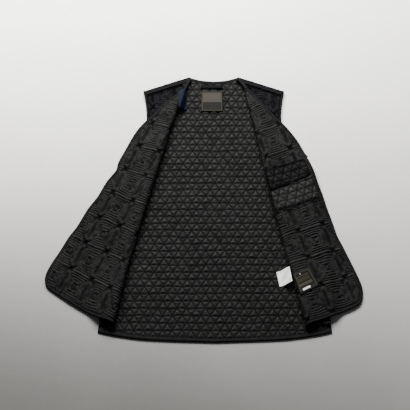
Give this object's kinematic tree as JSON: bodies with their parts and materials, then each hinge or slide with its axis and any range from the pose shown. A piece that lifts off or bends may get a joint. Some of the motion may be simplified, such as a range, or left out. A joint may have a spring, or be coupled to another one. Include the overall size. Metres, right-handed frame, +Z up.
{
  "type": "padded vest",
  "caption": "Black quilted sleeveless vest with a V neck, laid open on its back, lining up, both fronts turned back outwards.",
  "frame": {"origin": "under the middle of the whole vest as it lies, on the surface that it lies on", "axes": "+Z up off the surface, +Y from the hem towards the neck, +X to the right of one who looks down with the neck away"},
  "size_m": [0.792, 0.801, 0.0249],
  "materials": {
    "lining": "black quilted nylon lining, soft sheen",
    "shell": "charcoal black quilted nylon shell, matt",
    "binding": "dark folded nylon binding, topstitched",
    "label": "woven satin label, bare",
    "care_tape": "white satin tape, bare",
    "satin": "navy satin ribbon, glossy"
  },
  "bodies": {
    "root": {"back": "lining", "front_left": "lining", "front_right": "lining", "front_binding_left": "binding", "front_binding_right": "binding", "armhole_binding_left_front": "binding", "armhole_binding_left_back": "binding", "armhole_binding_right_front": "binding", "armhole_binding_right_back": "binding", "neck_binding": "binding", "hem_binding": "binding", "hanger_loop": "binding", "pocket_facing": "shell", "pocket_patch": "lining", "neck_label": "label", "inner_label": "label", "care_label": "care_tape", "ribbon": "satin"}
  },
  "joints": []
}
